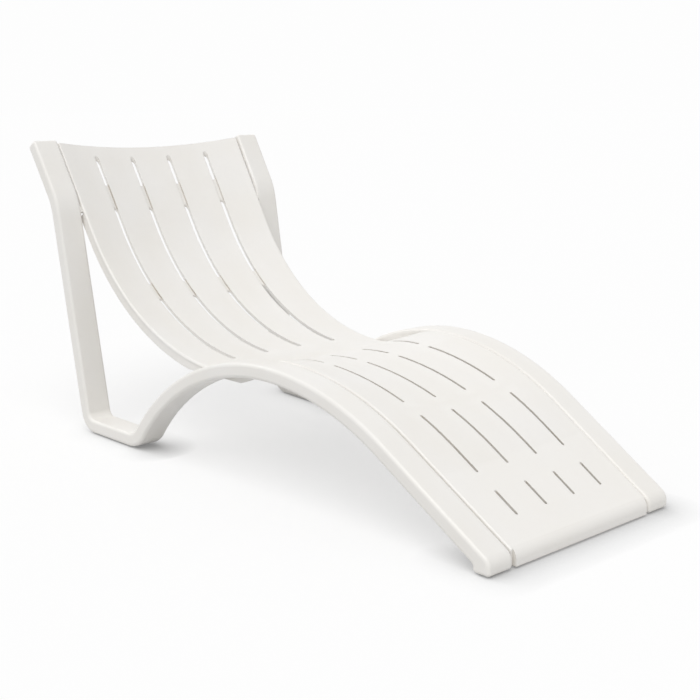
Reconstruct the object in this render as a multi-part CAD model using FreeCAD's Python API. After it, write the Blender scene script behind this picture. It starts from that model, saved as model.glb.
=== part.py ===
import FreeCAD, Part
import math
import os

from FreeCAD import Vector

os.makedirs("parts", exist_ok=True)

# Sun lounger: two ribbon side rails, one slatted panel between them, screws and floor glides.
# Side views are drawn in X and Z with the crest of the arch at X zero, feet towards plus X.

# Whole lounger in plan
head_width = 715.0
foot_width = 565.0

# Line of the panel's upper face in side view
crest_height = 292.0
seat_dip = 60.0
knee_angle = 28.0
seat_radius = 600.0
back_angle = 57.0
back_run = 268.0
shin_radius = 680.0
shin_angle = 31.0
shin_run = 314.0

# Side rails
rail_width = 68.0
rail_thickness = 34.0
rail_wall = 6.0
rail_round = 8.0
rail_proud = 4.0
rail_lead = 8.0
head_run = 175.4
kink_radius = 150.0
rear_leg_lean = 10.5
heel_radius = 38.0
toe_radius = 60.0
arch_radius = 593.0
cavity_end_wall = 95.0
foot_block_length = 41.0

# Ledge on each rail that carries the panel's edge
ledge_width = 30.0
ledge_thickness = 8.0
ledge_bite = 3.0
ledge_reach_share = 1.1
back_ledge_start = 22.0
back_ledge_length = 178.0
shin_ledge_end_inset = 40.0

# Slatted panel
panel_thickness = 8.0
panel_gap = 2.0
panel_seat_clearance = 0.3
panel_edge_round = 5.0
dish_depth = 40.0
crest_dish_depth = 24.0
dish_fade_run = 20.0
dish_section_shares = (-1.0, -0.7, -0.35, 0.0, 0.35, 0.7, 1.0)
skirt_depth = 28.0
skirt_thickness = 8.0
skirt_end_gap = 4.0
skirt_setback = 1.0
skirt_base_height = 215.0
lip_thickness = 10.0
lip_floor_clearance = 5.0
foot_round = 26.0
foot_notch_width = 6.0
foot_notch_depth = 9.0

# Slots between the slats
back_slot_width = 13.0
leg_slot_width = 6.5
bridge_recess = 4.0
lane_shares = (-0.61, -0.203, 0.203, 0.61)
back_row_shares = ((0.0157, 0.0625), (0.0985, 0.2346), (0.264, 0.45))
shin_row_shares = ((0.573, 0.625), (0.643, 0.765), (0.793, 0.8935), (0.922, 0.959))

# Panel screws
screw_radius = 2.5
screw_head_radius = 5.5
screw_head_height = 3.5
screw_bite = 5.5
screw_clearance = 0.15
screw_tip_clearance = 0.5
back_screw_shares = (0.2, 0.8)
shin_screw_shares = (0.06, 0.35, 0.65, 0.94)

# Floor glides
glide_proud = 3.0
glide_recess = 3.0
glide_side_inset = 14.0
glide_end_inset = 20.0
glide_clearance = 0.2
front_glide_end_inset = 9.0

# How far cutting shapes run past what they cut, and the shortest edge drawn
overrun = 40.0
shortest_edge = 0.001


def rad(degrees):
    return math.radians(degrees)


class Track:
    """A side-view line of straight runs and tangent bends, with offsets to its upper side."""

    def __init__(self, start, heading):
        self.point = start
        self.heading = heading
        self.pieces = []

    def run(self, length):
        self.pieces.append((self.point, self.heading, length, 0.0, length))
        self.point = self.point + along(self.heading) * length

    def bend(self, radius, turn):
        length = radius * abs(rad(turn))
        self.pieces.append((self.point, self.heading, radius, turn, length))
        self.point = bent(self.point, self.heading, radius, turn)
        self.heading += turn

    def length(self):
        return sum(piece[-1] for piece in self.pieces)

    def at(self, station):
        """The point and heading at a distance along the line."""
        for start, heading, size, turn, length in self.pieces:
            if station <= length:
                break
            station -= length
        if not turn:
            return start + along(heading) * station, heading
        part_turn = turn * station / length
        return bent(start, heading, size, part_turn), heading + part_turn

    def edges(self, offset, first, last):
        """Edges of the line shifted to its upper side, between two stations."""
        made = []
        begin = 0.0
        for start, heading, size, turn, length in self.pieces:
            low = max(first - begin, 0.0)
            high = min(last - begin, length)
            begin += length
            if high - low < shortest_edge:
                continue
            stops = [low, (low + high) / 2, high] if turn else [low, high]
            places = []
            for stop in stops:
                part_turn = turn * stop / length
                place = bent(start, heading, size, part_turn) if turn else start + along(heading) * stop
                places.append(place + upward(heading + part_turn) * offset)
            edge = Part.Arc(*places).toShape() if turn else Part.makeLine(*places)
            made.append((edge, places[0], places[-1]))
        return made

    def outline(self, low, high, first, last):
        """The closed line round a strip between two offsets of the line."""
        upper = self.edges(high, first, last)
        lower = self.edges(low, first, last)
        loop = [edge for edge, start, end in upper + lower]
        loop.append(Part.makeLine(upper[0][1], lower[0][1]))
        loop.append(Part.makeLine(upper[-1][2], lower[-1][2]))
        return Part.Wire(Part.__sortEdges__(loop))

    def band(self, low, high, first, last, reach):
        """A slab between two offsets of the line, as wide as the reach to each side of Y zero."""
        face = Part.Face(self.outline(low, high, first, last))
        face.translate(Vector(0, -reach, 0))
        return face.extrude(Vector(0, 2 * reach, 0))


def along(heading):
    return Vector(math.cos(rad(heading)), 0, math.sin(rad(heading)))


def upward(heading):
    return Vector(-math.sin(rad(heading)), 0, math.cos(rad(heading)))


def bent(start, heading, radius, turn):
    side = math.copysign(radius, turn)
    return start + (upward(heading) - upward(heading + turn)) * side


# Lowest point of the seat at the panel's edges
seat_low = Vector(-seat_dip / math.tan(rad(knee_angle / 2)), 0, crest_height - seat_dip)


# The dish across the panel's width eases the shin's bend and dies out on its straight run
dish_ease = crest_dish_depth / math.tan(rad(shin_angle)) / math.tan(rad(shin_angle / 2))
flat_run = shin_run - dish_ease * math.tan(rad(shin_angle)) - dish_fade_run


def dish(share):
    """How much of the dish's full depth shows at a share of the panel's half width."""
    return 1 - share * share


def panel_line(share):
    """Side-view line of the panel's upper face from the head to the foot end, at a share of its half width."""
    back_depth = dish(share) * dish_depth
    ease = dish(share) * dish_ease
    low = seat_low - Vector(back_depth / math.sin(rad(back_angle)), 0, 0)
    rise = crest_height - dish(share) * crest_dish_depth - low.z
    turn = 2 * math.degrees(math.atan2(rise, -low.x))
    radius = rise / (2 * (1 - math.cos(rad(turn))))
    run = back_run - back_depth / math.tan(rad(back_angle))
    back_foot = bent(low, 180.0, seat_radius, -back_angle)
    line = Track(back_foot + along(180.0 - back_angle) * run, -back_angle)
    line.run(run)
    line.bend(seat_radius, back_angle)
    line.bend(radius, turn)
    line.bend(radius, -turn)
    line.bend(shin_radius + ease, -shin_angle)
    line.run(shin_run - ease * math.tan(rad(shin_angle)))
    return line


# Side-view line of the panel's edges, from the head to the foot end
panel_track = panel_line(1)
head_end = panel_track.at(0)[0]
panel_length = panel_track.length()
crest_station = panel_length - shin_run - shin_radius * rad(shin_angle)
dish_end_station = panel_length - flat_run
foot_x = panel_track.point.x
foot_top = panel_track.point.z
panel_track.run(overrun)

# Side-view centre line of a rail, from the head to the foot end
half_thickness = rail_thickness / 2
sole_centre = glide_proud + half_thickness
toe_rise = (crest_height - half_thickness - sole_centre) / (toe_radius + arch_radius)
toe_angle = math.degrees(math.acos(1 - toe_rise))
toe_x = -(toe_radius + arch_radius) * math.sin(rad(toe_angle))
rail_head = head_end + along(180.0 - back_angle) * rail_lead
rail_head = rail_head + upward(-back_angle) * (rail_proud - half_thickness)
heel_turn = 90.0 - rear_leg_lean
heel_height = sole_centre + heel_radius * (1 - math.cos(rad(heel_turn)))
kink_turn = heel_turn - back_angle
kink_setback = kink_radius * math.tan(rad(kink_turn / 2))
kink_height = rail_head.z - head_run * math.sin(rad(back_angle))
leg_length = (kink_height - heel_height) / math.sin(rad(heel_turn))
rail_track = Track(rail_head, -back_angle)
rail_track.run(head_run - kink_setback)
rail_track.bend(kink_radius, -kink_turn)
rail_track.run(leg_length - kink_setback)
rail_track.bend(heel_radius, heel_turn)
sole_rear = rail_track.point
rail_track.run(toe_x - sole_rear.x)
rail_track.bend(toe_radius, toe_angle)
rail_track.bend(arch_radius, -toe_angle)
rail_track.bend(shin_radius - half_thickness, -shin_angle)
rail_track.run(shin_run + overrun)

# Plan: the outer faces of the rails close in towards the foot end
head_x = rail_head.x
toe_in = (head_width - foot_width) / 2 / (foot_x - head_x)
reach = head_width
top_height = rail_head.z + overrun


def outer(x):
    return foot_width / 2 + toe_in * (foot_x - x)


def plan_prism(corners, low, high):
    wire = Part.makePolygon([Vector(x, y, low) for x, y in corners + corners[:1]])
    return Part.Face(wire).extrude(Vector(0, 0, high - low))


def strip(side, inset, depth):
    """Everything above the floor that lies along one rail, between two insets from its outer face."""
    ends = (head_x - overrun, foot_x + overrun)
    corners = [(x, side * (outer(x) - inset)) for x in ends]
    corners += [(x, side * (outer(x) - depth)) for x in reversed(ends)]
    return plan_prism(corners, -overrun, top_height)


def clip(start, end, low, high):
    """A block across the whole width between two X places and two heights."""
    return Part.makeBox(end - start, 2 * reach, high - low, Vector(start, -reach, low))


def glide(side, start, end, clearance):
    block = clip(start - clearance, end + clearance, 0, glide_proud + glide_recess + clearance)
    inset = glide_side_inset - clearance
    return block.common(strip(side, inset, rail_width - inset))


def rear_glide(side, clearance):
    return glide(side, sole_rear.x + glide_end_inset, toe_x - glide_end_inset, clearance)


def front_glide(side, clearance):
    start = foot_x - foot_block_length + front_glide_end_inset
    return glide(side, start, foot_x - front_glide_end_inset, clearance)


def shin_ledge_span():
    return crest_station, panel_length - shin_ledge_end_inset


def panel_half(x):
    return outer(x) - rail_width - panel_gap


def dished(low, high, width_share):
    """A slab between two offsets of the panel's upper face, from the head to where the dish ends."""
    wires = []
    for section_share in dish_section_shares:
        share = section_share * width_share
        line = panel_line(share)
        move = FreeCAD.Matrix()
        move.A21 = -share * toe_in
        move.A24 = share * panel_half(0)
        wires.append(line.outline(low, high, 0, line.length() - flat_run).transformGeometry(move))
    return Part.makeLoft(wires, True)


def stretch(first, last):
    """Everything near the panel between two stations of its edge line."""
    return panel_track.band(-2 * overrun, overrun, first, last, reach)


def ledges(side):
    top = -panel_thickness - panel_seat_clearance
    bottom = top - ledge_thickness
    room = strip(side, rail_width - ledge_bite, rail_width + panel_gap + ledge_width)
    slab = dished(bottom, top, ledge_reach_share).common(room)
    knee_start, shin_end = shin_ledge_span()
    shin = panel_track.band(bottom, top, dish_end_station, shin_end, reach).common(room)
    knee = slab.common(stretch(knee_start, dish_end_station))
    return [slab.common(stretch(*back_span)), knee, shin]


def panel_point(share, station):
    """A point of the panel's upper face at a share of its half width."""
    point = panel_line(share).at(station)[0]
    return Vector(point.x, share * panel_half(point.x), point.z)


def screw_places(side, span, shares):
    """Points on the panel's upper face above the screws, with the direction up through it."""
    for share in shares:
        station = span[0] + share * (span[1] - span[0])
        place, heading = panel_track.at(station)
        across = ledge_width / panel_half(place.x)
        sideways = panel_point(1, station) - panel_point(1 - across, station)
        sideways.y *= side
        up = (along(heading).cross(sideways) * side).normalize()
        yield panel_point(side * (1 - across / 2), station), up


back_span = (back_ledge_start, back_ledge_start + back_ledge_length)
screw_spans = {
    "back": (back_span, back_screw_shares),
    "leg": (shin_ledge_span(), shin_screw_shares),
}
ledge_underside = panel_thickness + panel_seat_clearance + ledge_thickness
panel_underside_bite = panel_thickness - screw_bite


def screw(point, up):
    seat = point - up * ledge_underside
    shank = Part.makeCylinder(screw_radius, ledge_underside - panel_underside_bite, seat, up)
    head = Part.makeCylinder(screw_head_radius, screw_head_height, seat, -up)
    return shank.fuse(head).removeSplitter()


def screw_hole(point, up):
    seat = point - up * (ledge_underside + screw_head_height)
    depth = ledge_underside + screw_head_height - panel_underside_bite + screw_tip_clearance
    return Part.makeCylinder(screw_radius + screw_clearance, depth, seat, up)


def screw_holes(side):
    made = []
    for row in screw_spans.values():
        made += [screw_hole(point, up) for point, up in screw_places(side, *row)]
    return made


def side_rail(side):
    whole = (0, rail_track.length())
    ribbon = rail_track.band(-half_thickness, half_thickness, *whole, reach)
    block = clip(foot_x - foot_block_length, foot_x + overrun, glide_proud, foot_top - rail_round)
    ribbon = ribbon.fuse(block).removeSplitter()
    ribbon = ribbon.common(strip(side, 0, rail_width))
    ribbon = ribbon.common(clip(head_x - reach, foot_x, glide_proud, top_height))
    ribbon = ribbon.makeFillet(foot_round, [edge for edge in ribbon.Edges if is_foot_edge(edge)])
    ribbon = ribbon.makeFillet(rail_round, ribbon.Edges)
    hollow = half_thickness - rail_wall
    inside = rail_track.band(-hollow, hollow, rail_wall, whole[1] - overrun - cavity_end_wall, reach)
    inside = inside.common(strip(side, rail_wall, rail_width - rail_wall))
    rail = ribbon.cut(inside).fuse(ledges(side))
    return rail.cut(screw_holes(side) + [rear_glide(side, glide_clearance), front_glide(side, glide_clearance)])


def panel_plan():
    ends = (head_x - overrun, foot_x + overrun)
    corners = [(x, panel_half(x)) for x in ends] + [(x, -panel_half(x)) for x in reversed(ends)]
    return plan_prism(corners, -overrun, top_height)


def foot_lip():
    slope = math.tan(rad(shin_angle))
    top = foot_top - panel_thickness / 2
    corners = [
        Vector(foot_x, -reach, lip_floor_clearance),
        Vector(foot_x, -reach, top),
        Vector(foot_x - lip_thickness, -reach, top + lip_thickness * slope),
        Vector(foot_x - lip_thickness, -reach, lip_floor_clearance),
    ]
    face = Part.Face(Part.makePolygon(corners + corners[:1]))
    return face.extrude(Vector(0, 2 * reach, 0))


def skirts():
    """The deep edges of the panel where it runs free of the rails."""
    slab = dished(-skirt_depth, -panel_edge_round, 1).common(stretch(back_span[1] + skirt_end_gap, crest_station - skirt_end_gap))
    slab = slab.common(clip(head_x - reach, foot_x, skirt_base_height, top_height))
    inset = rail_width + panel_gap + skirt_setback
    return [slab.common(strip(side, inset, inset + skirt_thickness)) for side in (1, -1)]


def slot_cutter(line, lane, first, last, width):
    """An upright slot with round ends that follows one lane between two stations of a side-view line."""
    ends = []
    for station in (first, last):
        x = line.at(station)[0].x
        ends.append(Vector(x, lane * panel_half(x), -overrun))
    ahead = (ends[1] - ends[0]).normalize() * (width / 2)
    aside = Vector(-ahead.y, ahead.x, 0)
    near, far = ends[0] + ahead, ends[1] - ahead
    edges = [
        Part.makeLine(near + aside, far + aside),
        Part.Arc(far + aside, far + ahead, far - aside).toShape(),
        Part.makeLine(far - aside, near - aside),
        Part.Arc(near - aside, near - ahead, near + aside).toShape(),
    ]
    return Part.Face(Part.Wire(edges)).extrude(Vector(0, 0, top_height + overrun))


def back_slots(lane):
    line = panel_line(lane)
    rows = [(first * panel_length, last * panel_length) for first, last in back_row_shares]
    made = [slot_cutter(line, lane, first, last, back_slot_width) for first, last in rows]
    groove = slot_cutter(line, lane, rows[0][1] - back_slot_width, rows[-1][0] + back_slot_width, back_slot_width)
    return made + [groove.common(dished(-bridge_recess, bridge_recess, 1))]


def leg_slots(lane):
    rows = [(first * panel_length, last * panel_length) for first, last in shin_row_shares]
    return [slot_cutter(panel_track, lane, first, last, leg_slot_width) for first, last in rows]


def foot_notches():
    """The open notches between the foot lip and the rails."""
    block = clip(foot_x - foot_notch_depth, foot_x + overrun, -overrun, top_height)
    inset = rail_width + panel_gap
    return [block.common(strip(side, inset, inset + foot_notch_width)) for side in (1, -1)]


def slatted_panel():
    leg = panel_track.band(-panel_thickness, 0, dish_end_station, panel_track.length(), reach)
    leg = leg.fuse(foot_lip()).common(clip(0, foot_x, 0, top_height)).removeSplitter()
    leg = leg.common(panel_plan())
    leg = leg.makeFillet(foot_round, [edge for edge in leg.Edges if is_foot_edge(edge)])
    panel = dished(-panel_thickness, 0, 1).fuse(leg)
    panel = panel.makeFillet(panel_edge_round, [edge for edge in panel.Edges if is_side_edge(edge)])
    panel = panel.fuse(skirts())
    cutters = [cutter for lane in lane_shares for cutter in back_slots(lane) + leg_slots(lane)]
    return panel.cut(cutters + foot_notches() + screw_holes(1) + screw_holes(-1))


panel_top = Part.Wire([edge for edge, start, end in panel_track.edges(0, 0, panel_length)])


def middle(edge):
    return edge.valueAt((edge.FirstParameter + edge.LastParameter) / 2)


def is_foot_edge(edge):
    place = middle(edge)
    return abs(place.x - foot_x) < panel_gap and abs(place.z - foot_top) < panel_gap


def is_side_edge(edge):
    place = middle(edge)
    on_side = abs(abs(place.y) - panel_half(place.x)) < panel_seat_clearance
    on_top = Part.Vertex(place.x, 0, place.z).distToShape(panel_top)[0] < panel_seat_clearance
    return on_side and on_top


nodes = {"slatted_panel": slatted_panel()}
for name, side in (("left", 1), ("right", -1)):
    nodes[name + "_side_rail"] = side_rail(side)
    nodes["rear_" + name + "_glide"] = rear_glide(side, 0)
    nodes["front_" + name + "_glide"] = front_glide(side, 0)
    for zone, row in screw_spans.items():
        group = [screw(point, up) for point, up in screw_places(side, *row)]
        nodes[name + "_" + zone + "_screws"] = Part.makeCompound(group)

# The head edge's lower corner in the middle of the dish reaches furthest back
rear_x = panel_line(0).at(0)[0].x - panel_thickness * math.sin(rad(back_angle))
for name, shape in nodes.items():
    shape.translate(Vector(-(rear_x + foot_x) / 2, 0, 0))
    shape.exportStep("parts/" + name + ".step")
    print(name, shape.isValid(), len(shape.Solids), round(shape.Volume), shape.BoundBox)
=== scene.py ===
import math

import bpy
from bpy.props import FloatProperty, FloatVectorProperty, PointerProperty
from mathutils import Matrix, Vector

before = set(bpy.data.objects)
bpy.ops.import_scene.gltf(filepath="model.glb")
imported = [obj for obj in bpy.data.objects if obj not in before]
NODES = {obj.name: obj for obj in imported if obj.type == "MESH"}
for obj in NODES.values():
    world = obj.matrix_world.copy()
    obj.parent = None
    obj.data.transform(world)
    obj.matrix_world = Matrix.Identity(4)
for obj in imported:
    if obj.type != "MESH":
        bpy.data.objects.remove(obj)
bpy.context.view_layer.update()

bl_info = {
    "name": "Sun lounger dresser",
    "version": (1, 0, 0),
    "blender": (4, 5, 0),
    "location": "View3D > Sidebar > Lounger",
    "description": "Finishes the sun lounger's mouldings, rubber and screws, and sets its studio",
    "category": "Object",
}

RAILS = ("left_side_rail", "right_side_rail")
PANELS = ("slatted_panel",)
GLIDES = ("rear_left_glide", "rear_right_glide", "front_left_glide", "front_right_glide")
SCREWS = ("left_back_screws", "right_back_screws", "left_leg_screws", "right_leg_screws")

WHITE = (1.0, 1.0, 1.0)
SENSOR_WIDTH = 36.0

# Numbers of the Mix node's colour sockets, which share their names with others
MIX_FACTOR, MIX_FIRST, MIX_SECOND, MIX_RESULT = 0, 6, 7, 2

# Rays of the nodes that look round a point
OPENNESS_SAMPLES = 8
EDGE_SAMPLES = 6

# The range in which most of a noise lies
NOISE_RANGE = (0.3, 0.7)

# Plastic: faint clouds and specks of dust
CLOUD_RANGE = (0.32, 0.68)
CLOUD_TINT = (0.985, 0.978, 0.962)
SPECKS_PER_CLOUD = 12
DUST_RANGE = (0.52, 0.78)
DUST_COVER = 0.10
DUST_SHADE = 0.90

# Plastic: painted shade in slots and corners, of which the long grooves keep a small share
PAINTED_SHADE_OPENNESS = (0.30, 0.80)
PAINTED_SHADE_TINT = (0.36, 0.29, 0.20)
GROOVE_SHARE = 0.12

# Plastic: rubbed edges
RUBBED_POINTINESS = (0.515, 0.60)
RUBBED_COVER = 0.35
RUBBED_LIFT = 1.05
RUBBED_MOST = 0.93

# Plastic: shine, with the bump's strength and its depth in metres
PLASTIC_IOR = 1.49
WAVERS_PER_CLOUD = 3
SHINIER_BY = 0.04
DULLER_BY = 0.08
PLASTIC_BUMP = (0.10, 0.00025)

# Rubber: pairs of noise and shade, then the grain
RUBBER_TONES = ((0.30, 0.82), (0.55, 1.0), (0.75, 1.12))
RUBBER_ROUGHNESS = (0.66, 0.84)
RUBBER_SPECULAR = 0.3
RUBBER_BUMP = (0.3, 0.0003)
RUBBER_GRAIN = 0.8
SCUFFS_PER_CLOUD = 20

# Steel: pairs of noise and shade, then the turning marks
STEEL_TONES = ((0.35, 0.86), (0.65, 1.0))
STEEL_ROUGHNESS = (0.24, 0.40)
STEEL_BUMP = (0.12, 0.0001)
STEEL_GRAIN = 0.5

# Floor: the openness over which the shadow at the feet fades out
CONTACT_OPENNESS = (0.35, 1.0)


class LoungerFinish(bpy.types.PropertyGroup):
    """Colours and surface grain of the lounger's materials."""

    rail_colour: FloatVectorProperty(
        name="Rail colour", description="Warm white of the side rails",
        subtype="COLOR", size=3, min=0, max=1, default=(0.872, 0.855, 0.826))
    panel_colour: FloatVectorProperty(
        name="Panel colour", description="Warm white of the slatted panel",
        subtype="COLOR", size=3, min=0, max=1, default=(0.876, 0.858, 0.829))
    glide_colour: FloatVectorProperty(
        name="Glide colour", description="Pale grey of the rubber glides",
        subtype="COLOR", size=3, min=0, max=1, default=(0.47, 0.46, 0.44))
    screw_colour: FloatVectorProperty(
        name="Screw colour", description="Plain stainless steel of the screws",
        subtype="COLOR", size=3, min=0, max=1, default=(0.60, 0.60, 0.61))
    grain_size: FloatProperty(
        name="Grain size", description="Width of the spark texture of the mould",
        subtype="DISTANCE", unit="LENGTH", min=0.0002, max=0.01, default=0.0016)
    cloud_size: FloatProperty(
        name="Cloud size", description="Width of the faint colour clouds in the plastic",
        subtype="DISTANCE", unit="LENGTH", min=0.02, max=1, default=0.16)
    nook_width: FloatProperty(
        name="Nook width", description="Width of the slots and corners that take painted shade",
        subtype="DISTANCE", unit="LENGTH", min=0.001, max=0.1, default=0.014)
    slot_reach: FloatProperty(
        name="Slot reach", description="How far from the lounger's middle the slots lie at most",
        subtype="DISTANCE", unit="LENGTH", min=0.01, max=1, default=0.20)
    edge_round: FloatProperty(
        name="Edge round", description="Radius of the moulded edges of slots and lips",
        subtype="DISTANCE", unit="LENGTH", min=0.0001, max=0.01, default=0.0018)
    # Painted shade: how dark the rails' and the panel's nooks are painted
    rail_painted_shade: FloatProperty(
        name="Rail painted shade", description="How dark the painted shade makes the rails' corners",
        subtype="FACTOR", min=0, max=1, default=0.28)
    panel_painted_shade: FloatProperty(
        name="Panel painted shade", description="How dark the painted shade makes the panel's slots",
        subtype="FACTOR", min=0, max=1, default=0.95)
    plastic_roughness: FloatProperty(
        name="Plastic roughness", description="How matt the plastic is",
        subtype="FACTOR", min=0, max=1, default=0.34)


class LoungerStudio(bpy.types.PropertyGroup):
    """Floor, lamps and camera of the picture."""

    floor_colour: FloatVectorProperty(
        name="Floor colour", description="Pale floor that lights the lounger from below",
        subtype="COLOR", size=3, min=0, max=1, default=(0.72, 0.72, 0.72))
    shadow_depth: FloatProperty(
        name="Shadow depth", description="Share of the floor's white that a full shadow takes away",
        subtype="FACTOR", min=0, max=1, default=0.38)
    contact_depth: FloatProperty(
        name="Contact depth", description="Share of the floor's white lost where a piece meets it",
        subtype="FACTOR", min=0, max=1, default=0.42)
    contact_reach: FloatProperty(
        name="Contact reach", description="How far that shadow reaches out from the piece",
        subtype="DISTANCE", unit="LENGTH", min=0.001, max=1, default=0.09)
    contact_lean: FloatVectorProperty(
        name="Contact lean", description="The side from which light comes to the floor at the feet",
        subtype="DIRECTION", size=3, default=(-0.50, -0.42, 0.76))
    floor_width: FloatProperty(
        name="Floor width", description="Width of the floor",
        subtype="DISTANCE", unit="LENGTH", min=5, max=200, default=80)
    backdrop: FloatProperty(
        name="Backdrop", description="White of the backdrop as the camera sees it",
        min=0, max=1, default=0.985)
    dome: FloatProperty(
        name="Dome light", description="Even light from all round",
        min=0, max=2, default=0.515)
    key: FloatProperty(
        name="Key lamp", description="Strength of the broad lamp above the near side",
        min=0, max=10, default=1.56)
    key_spread: FloatProperty(
        name="Key spread", description="How broad the key lamp looks from the floor",
        subtype="ANGLE", unit="ROTATION", min=0, max=math.pi, default=math.radians(50))
    key_direction: FloatVectorProperty(
        name="Key direction", description="Where the key lamp stands, seen from the lounger",
        subtype="DIRECTION", size=3, default=(0.28, -0.42, 0.86))
    rim: FloatProperty(
        name="Rim lamp", description="Strength of the lamp behind the head that catches the edges",
        min=0, max=10, default=0.30)
    rim_spread: FloatProperty(
        name="Rim spread", description="How broad the rim lamp looks from the floor",
        subtype="ANGLE", unit="ROTATION", min=0, max=math.pi, default=math.radians(18))
    rim_direction: FloatVectorProperty(
        name="Rim direction", description="Where the rim lamp stands, seen from the lounger",
        subtype="DIRECTION", size=3, default=(-0.75, -0.19, 0.63))
    camera_place: FloatVectorProperty(
        name="Camera place", description="Where the camera stands",
        subtype="TRANSLATION", unit="LENGTH", size=3, default=(2.0812, -1.7841, 0.8611))
    camera_tilt: FloatProperty(
        name="Camera tilt", description="Turn of the camera up from looking straight down",
        subtype="ANGLE", unit="ROTATION", default=math.radians(77.559))
    camera_pan: FloatProperty(
        name="Camera pan", description="Turn of the camera about the upright",
        subtype="ANGLE", unit="ROTATION", default=math.radians(48.228))
    camera_lens: FloatProperty(
        name="Camera lens", description="Focal length in millimetres on a 36 mm sensor",
        min=10, max=300, default=60.36)


class NodeSheet:
    """The node tree of a material or a world, with short calls to add and join nodes."""

    def __init__(self, owner):
        owner.use_nodes = True
        self.owner = owner
        self.nodes = owner.node_tree.nodes
        self.links = owner.node_tree.links

    def add(self, kind, **settings):
        node = self.nodes.new(kind)
        for key, value in settings.items():
            setattr(node, key, value)
        return node

    def join(self, source, target):
        self.links.new(source, target)

    def span(self, value, source, target):
        """Carry a value over from one range to another and hold it at the ends."""
        node = self.add("ShaderNodeMapRange")
        ends = zip(("From Min", "From Max", "To Min", "To Max"), (*source, *target))
        for key, number in ends:
            node.inputs[key].default_value = number
        self.join(value, node.inputs["Value"])
        return node.outputs["Result"]

    def reckon(self, operation, *values):
        """Join values to a Math node."""
        node = self.add("ShaderNodeMath", operation=operation)
        for value, socket in zip(values, node.inputs):
            self.join(value, socket)
        return node.outputs["Value"]

    def seen_directly(self):
        """One for rays from the camera, a reflection or a clear material, and zero for light."""
        rays = self.add("ShaderNodeLightPath").outputs
        direct = self.reckon("MAXIMUM", rays["Is Camera Ray"], rays["Is Glossy Ray"])
        return self.reckon("MAXIMUM", direct, rays["Is Transmission Ray"])


class MaterialSheet(NodeSheet):
    """A new material's node tree."""

    def __init__(self, name):
        super().__init__(bpy.data.materials.new(name))
        self.shader = self.nodes["Principled BSDF"]

    def set(self, key, number):
        self.shader.inputs[key].default_value = number

    def feed(self, key, source):
        self.join(source, self.shader.inputs[key])

    def place(self):
        """Rest coordinates in metres."""
        return self.add("ShaderNodeTexCoord").outputs["Object"]

    def noise(self, place, width, detail, rough=0.5):
        node = self.add("ShaderNodeTexNoise")
        node.inputs["Scale"].default_value = 1 / width
        node.inputs["Detail"].default_value = detail
        node.inputs["Roughness"].default_value = rough
        self.join(place, node.inputs["Vector"])
        return node.outputs["Fac"]

    def ramp(self, value, stops):
        """Colour for a value, from pairs of value and colour in rising order."""
        node = self.add("ShaderNodeValToRGB")
        table = node.color_ramp.elements
        for index, (share, colour) in enumerate(stops):
            stop = table[index] if index < len(table) else table.new(share)
            stop.position = share
            stop.color = (*colour, 1)
        self.join(value, node.inputs["Fac"])
        return node.outputs["Color"]

    def mix(self, factor, first, second):
        """Blend two colours, each from a socket or plain."""
        node = self.add("ShaderNodeMix", data_type="RGBA")
        self.join(factor, node.inputs[MIX_FACTOR])
        for key, colour in ((MIX_FIRST, first), (MIX_SECOND, second)):
            if isinstance(colour, bpy.types.NodeSocket):
                self.join(colour, node.inputs[key])
            else:
                node.inputs[key].default_value = (*colour, 1)
        return node.outputs[MIX_RESULT]

    def openness(self, reach, normal=None):
        """How much of the view from a point is free within a reach."""
        node = self.add("ShaderNodeAmbientOcclusion", samples=OPENNESS_SAMPLES)
        node.inputs["Distance"].default_value = reach
        if normal:
            self.join(normal, node.inputs["Normal"])
        return node.outputs["AO"]

    def soft_edges(self, radius):
        """Normals that round each sharp edge off."""
        node = self.add("ShaderNodeBevel", samples=EDGE_SAMPLES)
        node.inputs["Radius"].default_value = radius
        return node.outputs["Normal"]

    def bump(self, height, relief, base=None):
        """Raise a grain by a strength and a depth in metres."""
        node = self.add("ShaderNodeBump")
        if base:
            self.join(base, node.inputs["Normal"])
        node.inputs["Strength"].default_value, node.inputs["Distance"].default_value = relief
        self.join(height, node.inputs["Height"])
        self.feed("Normal", node.outputs["Normal"])


def tint(colour, shares):
    return tuple(channel * share for channel, share in zip(colour, shares))


def shade(colour, share):
    return tuple(channel * share for channel in colour)


def shades(colour, tones):
    return [(value, shade(colour, share)) for value, share in tones]


def nook_painted_shade(sheet, place, finish, depth):
    """Painted shade in slots and corners, darker where less of the view is open. The long grooves
    beside the rails keep only a small share of it.
    """
    # Painted shade: the colour darkens where nearby surfaces close the view, as shade falls there
    dust_and_painted_shade = sheet.span(sheet.openness(finish.nook_width), PAINTED_SHADE_OPENNESS, (depth, 0.0))
    axes = sheet.add("ShaderNodeSeparateXYZ")
    sheet.join(place, axes.inputs["Vector"])
    aside = sheet.reckon("ABSOLUTE", axes.outputs["Y"])
    past_slots = (finish.slot_reach, finish.slot_reach + finish.nook_width)
    return sheet.reckon("MULTIPLY", dust_and_painted_shade, sheet.span(aside, past_slots, (1.0, GROOVE_SHARE)))


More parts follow.
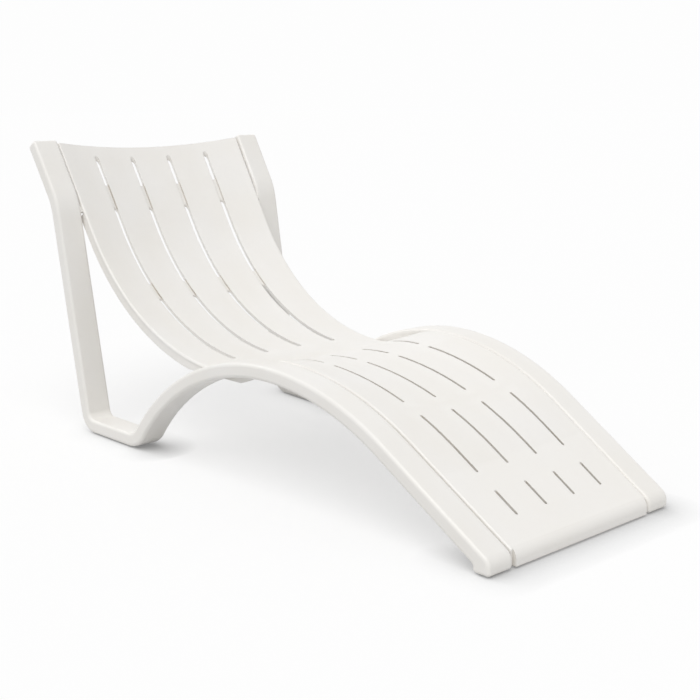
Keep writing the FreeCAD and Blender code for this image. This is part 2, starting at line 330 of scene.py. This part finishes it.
def moulded_plastic(name, colour, finish, painted_shade_depth):
    """Matt moulded plastic: spark grain, faint clouds, dust, painted shade in nooks and rubbed
    edges.
    """
    sheet = MaterialSheet(name)
    place = sheet.place()
    clouds = sheet.noise(place, finish.cloud_size, detail=3)
    tone = sheet.ramp(clouds, zip(CLOUD_RANGE, (tint(colour, CLOUD_TINT), colour)))
    specks = sheet.noise(place, finish.cloud_size / SPECKS_PER_CLOUD, detail=2, rough=0.6)
    dust_and_painted_shade = sheet.span(specks, DUST_RANGE, (0.0, DUST_COVER))
    tone = sheet.mix(dust_and_painted_shade, tone, shade(colour, DUST_SHADE))
    # Painted shade in the slots, corners and grooves, tinted warm
    painted_shade = nook_painted_shade(sheet, place, finish, painted_shade_depth)
    tone = sheet.mix(painted_shade, tone, tint(colour, PAINTED_SHADE_TINT))
    pointed = sheet.add("ShaderNodeNewGeometry").outputs["Pointiness"]
    rubbed = sheet.span(pointed, RUBBED_POINTINESS, (0.0, RUBBED_COVER))
    pale = [min(channel, RUBBED_MOST) for channel in shade(colour, RUBBED_LIFT)]
    sheet.feed("Base Color", sheet.mix(rubbed, tone, pale))
    waver = sheet.noise(place, finish.cloud_size / WAVERS_PER_CLOUD, detail=2)
    middle = finish.plastic_roughness
    shine = (middle - SHINIER_BY, middle + DULLER_BY)
    sheet.feed("Roughness", sheet.span(waver, NOISE_RANGE, shine))
    grain = sheet.noise(place, finish.grain_size, detail=2, rough=0.65)
    sheet.bump(grain, PLASTIC_BUMP, sheet.soft_edges(finish.edge_round))
    sheet.set("IOR", PLASTIC_IOR)
    return sheet.owner


def glide_rubber(name, colour, finish):
    """Soft moulded rubber with a scuffed, dusty face."""
    sheet = MaterialSheet(name)
    place = sheet.place()
    scuffs = sheet.noise(place, finish.cloud_size / SCUFFS_PER_CLOUD, detail=4, rough=0.7)
    sheet.feed("Base Color", sheet.ramp(scuffs, shades(colour, RUBBER_TONES)))
    sheet.feed("Roughness", sheet.span(scuffs, NOISE_RANGE, RUBBER_ROUGHNESS))
    grain = sheet.noise(place, finish.grain_size * RUBBER_GRAIN, detail=2)
    sheet.bump(grain, RUBBER_BUMP)
    sheet.set("Specular IOR Level", RUBBER_SPECULAR)
    return sheet.owner


def screw_steel(name, colour, finish):
    """Plain stainless steel with turning marks."""
    sheet = MaterialSheet(name)
    place = sheet.place()
    marks = sheet.noise(place, finish.grain_size * STEEL_GRAIN, detail=3, rough=0.7)
    sheet.feed("Base Color", sheet.ramp(marks, shades(colour, STEEL_TONES)))
    sheet.feed("Roughness", sheet.span(marks, NOISE_RANGE, STEEL_ROUGHNESS))
    sheet.bump(marks, STEEL_BUMP)
    sheet.set("Metallic", 1.0)
    return sheet.owner


def finish_nodes(names, material):
    """Give the named CAD nodes one material."""
    for name in names:
        mesh = NODES[name].data
        mesh.materials.clear()
        mesh.materials.append(material)


class DressRails(bpy.types.Operator):
    """Give both side rails their moulded plastic"""

    bl_idname = "lounger.dress_rails"
    bl_label = "Dress side rails"

    def execute(self, context):
        finish = context.scene.lounger_finish
        plastic = moulded_plastic("rail_plastic", finish.rail_colour, finish, finish.rail_painted_shade)
        finish_nodes(RAILS, plastic)
        return {"FINISHED"}


class DressPanel(bpy.types.Operator):
    """Give the slatted panel its moulded plastic"""

    bl_idname = "lounger.dress_panel"
    bl_label = "Dress slatted panel"

    def execute(self, context):
        finish = context.scene.lounger_finish
        plastic = moulded_plastic("panel_plastic", finish.panel_colour, finish, finish.panel_painted_shade)
        finish_nodes(PANELS, plastic)
        return {"FINISHED"}


class DressGlides(bpy.types.Operator):
    """Give the floor glides their rubber"""

    bl_idname = "lounger.dress_glides"
    bl_label = "Dress floor glides"

    def execute(self, context):
        finish = context.scene.lounger_finish
        finish_nodes(GLIDES, glide_rubber("glide_rubber", finish.glide_colour, finish))
        return {"FINISHED"}


class DressScrews(bpy.types.Operator):
    """Give the panel screws their steel"""

    bl_idname = "lounger.dress_screws"
    bl_label = "Dress panel screws"

    def execute(self, context):
        finish = context.scene.lounger_finish
        finish_nodes(SCREWS, screw_steel("screw_steel", finish.screw_colour, finish))
        return {"FINISHED"}


def floor_glow(sheet, studio, seen):
    """White that the floor shows beside its lit colour, darker where a piece meets the floor."""
    lean = sheet.add("ShaderNodeCombineXYZ")
    for socket, number in zip(lean.inputs, studio.contact_lean):
        socket.default_value = number
    free = sheet.openness(studio.contact_reach, lean.outputs["Vector"])
    white = studio.backdrop - studio.shadow_depth
    level = sheet.span(free, CONTACT_OPENNESS, (white - studio.contact_depth, white))
    glow = sheet.add("ShaderNodeEmission")
    sheet.join(sheet.reckon("MULTIPLY", seen, level), glow.inputs["Strength"])
    return glow.outputs["Emission"]


def floor_finish(studio):
    """A matt pale floor that keeps soft shadows and looks near white to the camera."""
    sheet = MaterialSheet("pale_floor")
    seen = sheet.seen_directly()
    lit = sheet.mix(seen, studio.floor_colour, shade(WHITE, studio.shadow_depth))
    sheet.feed("Base Color", lit)
    sheet.set("Roughness", 1.0)
    sheet.set("Specular IOR Level", 0.0)
    total = sheet.add("ShaderNodeAddShader")
    sheet.join(sheet.shader.outputs["BSDF"], total.inputs[0])
    sheet.join(floor_glow(sheet, studio, seen), total.inputs[1])
    sheet.join(total.outputs["Shader"], sheet.nodes["Material Output"].inputs["Surface"])
    return sheet.owner


def lay_floor(studio):
    half = studio.floor_width / 2
    mesh = bpy.data.meshes.new("studio_floor")
    corners = [(-half, -half, 0), (half, -half, 0), (half, half, 0), (-half, half, 0)]
    mesh.from_pydata(corners, [], [(0, 1, 2, 3)])
    mesh.materials.append(floor_finish(studio))
    floor = bpy.data.objects.new("studio_floor", mesh)
    bpy.context.scene.collection.objects.link(floor)


def light_backdrop(studio):
    """A white world, brighter to the camera than the light that it gives."""
    world = bpy.data.worlds.new("studio_backdrop")
    bpy.context.scene.world = world
    sheet = NodeSheet(world)
    background = sheet.nodes["Background"]
    background.inputs["Color"].default_value = (*WHITE, 1)
    level = sheet.span(sheet.seen_directly(), (0.0, 1.0), (studio.dome, studio.backdrop))
    sheet.join(level, background.inputs["Strength"])


def hang_lamp(name, strength, spread, direction):
    data = bpy.data.lights.new(name, "SUN")
    data.energy = strength
    data.angle = spread
    lamp = bpy.data.objects.new(name, data)
    lamp.rotation_euler = Vector(direction).to_track_quat("Z", "Y").to_euler()
    bpy.context.scene.collection.objects.link(lamp)


def stand_camera(studio):
    data = bpy.data.cameras.new("photo_camera")
    data.lens = studio.camera_lens
    data.sensor_width = SENSOR_WIDTH
    camera = bpy.data.objects.new("photo_camera", data)
    camera.location = studio.camera_place
    camera.rotation_euler = (studio.camera_tilt, 0, studio.camera_pan)
    bpy.context.scene.collection.objects.link(camera)
    bpy.context.scene.camera = camera


class SetStudio(bpy.types.Operator):
    """Lay the floor, light the lounger and stand the camera"""

    bl_idname = "lounger.set_studio"
    bl_label = "Set studio"

    def execute(self, context):
        studio = context.scene.lounger_studio
        lay_floor(studio)
        light_backdrop(studio)
        hang_lamp("key_lamp", studio.key, studio.key_spread, studio.key_direction)
        hang_lamp("rim_lamp", studio.rim, studio.rim_spread, studio.rim_direction)
        stand_camera(studio)
        context.scene.view_settings.view_transform = "Standard"
        return {"FINISHED"}


STEPS = (DressRails, DressPanel, DressGlides, DressScrews, SetStudio)


class LoungerPanel(bpy.types.Panel):
    """The lounger's steps and values in the sidebar"""

    bl_idname = "VIEW3D_PT_lounger"
    bl_label = "Sun lounger"
    bl_space_type = "VIEW_3D"
    bl_region_type = "UI"
    bl_category = "Lounger"

    def draw(self, context):
        for step in STEPS:
            self.layout.operator(step.bl_idname)
        for group in (context.scene.lounger_finish, context.scene.lounger_studio):
            column = self.layout.column()
            for name in group.__annotations__:
                column.prop(group, name)


CLASSES = (LoungerFinish, LoungerStudio, *STEPS, LoungerPanel)


def register():
    for item in CLASSES:
        bpy.utils.register_class(item)
    bpy.types.Scene.lounger_finish = PointerProperty(type=LoungerFinish)
    bpy.types.Scene.lounger_studio = PointerProperty(type=LoungerStudio)


def unregister():
    del bpy.types.Scene.lounger_studio
    del bpy.types.Scene.lounger_finish
    for item in reversed(CLASSES):
        bpy.utils.unregister_class(item)


def main():
    register()
    bpy.ops.lounger.dress_rails()
    bpy.ops.lounger.dress_panel()
    bpy.ops.lounger.dress_glides()
    bpy.ops.lounger.dress_screws()
    bpy.ops.lounger.set_studio()


if __name__ == "__main__":
    main()
